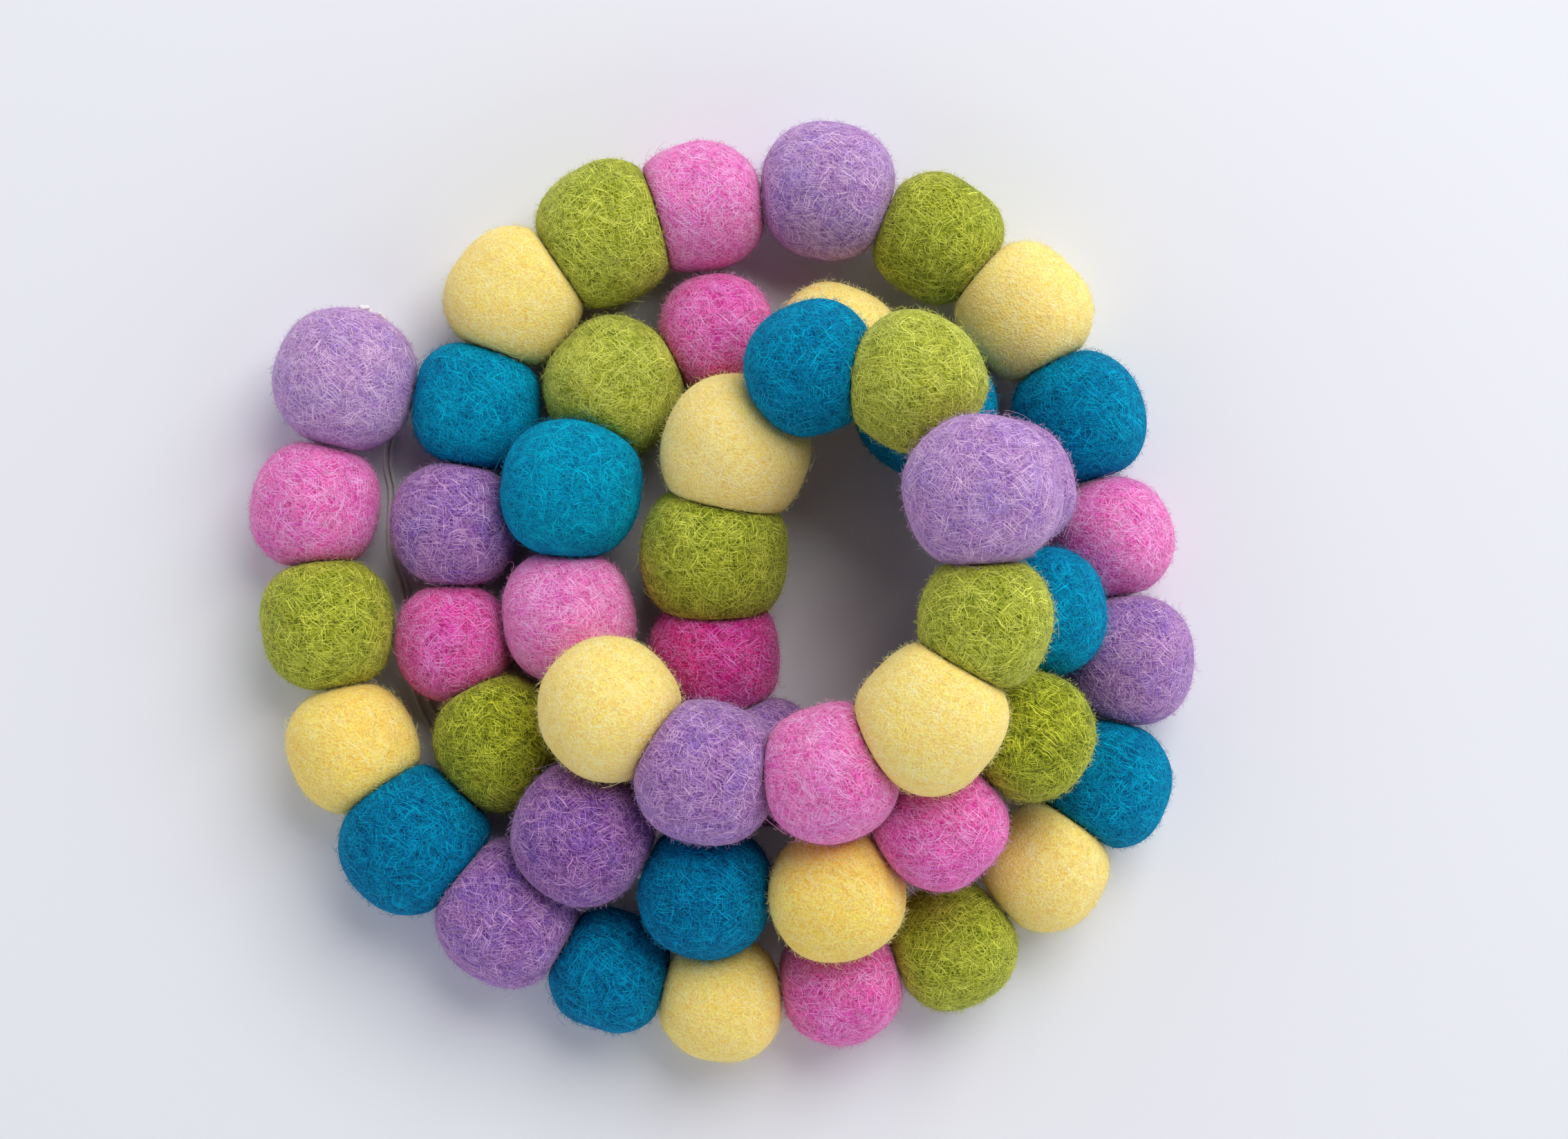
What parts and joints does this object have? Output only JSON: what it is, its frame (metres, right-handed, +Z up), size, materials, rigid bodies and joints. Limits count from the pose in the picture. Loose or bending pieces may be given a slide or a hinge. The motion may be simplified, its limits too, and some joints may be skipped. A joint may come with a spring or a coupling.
{
  "type": "felt ball garland",
  "caption": "Garland of wool felt balls in lavender, pink, green, yellow and teal on a cotton string, coiled up into a loose heap of rings that lies on a surface.",
  "frame": {"origin": "middle of the heap's box, on the surface that it rests on", "axes": "+Z up from the surface; +X to the right and +Y away from the viewer as the heap is seen in the picture"},
  "size_m": [0.177, 0.1763, 0.0612],
  "materials": {
    "lavender": "wet felted wool, matt and fuzzy",
    "pink": "wet felted wool, matt and fuzzy",
    "green": "wet felted wool, matt and fuzzy",
    "yellow": "wet felted wool, matt and fuzzy",
    "teal": "wet felted wool, matt and fuzzy",
    "cotton": "twisted cotton string, matt"
  },
  "bodies": {
    "root": {"ball_01": "lavender", "ball_02": "pink", "ball_03": "green", "ball_04": "yellow", "ball_05": "teal", "ball_06": "lavender", "ball_07": "teal", "ball_08": "yellow", "ball_09": "pink", "ball_10": "green", "ball_11": "yellow", "ball_12": "teal", "ball_13": "lavender", "ball_14": "pink", "ball_15": "teal", "ball_16": "yellow", "ball_17": "green", "ball_18": "lavender", "ball_19": "pink", "ball_20": "green", "ball_21": "yellow", "ball_22": "teal", "ball_23": "lavender", "ball_24": "pink", "ball_25": "green", "ball_26": "lavender", "ball_27": "teal", "ball_28": "yellow", "ball_29": "pink", "ball_30": "green", "ball_31": "teal", "ball_32": "lavender", "ball_33": "teal", "ball_34": "yellow", "ball_35": "pink", "ball_36": "green", "ball_37": "teal", "ball_38": "pink", "ball_39": "yellow", "ball_40": "lavender", "ball_41": "pink", "ball_42": "yellow", "ball_43": "green", "ball_44": "lavender", "ball_45": "green", "ball_46": "teal", "ball_47": "yellow", "ball_48": "green", "ball_49": "pink", "ball_50": "lavender", "ball_51": "yellow", "ball_52": "teal", "string": "cotton", "knot_outer": "cotton", "knot_inner": "cotton", "tail": "cotton"}
  },
  "joints": []
}
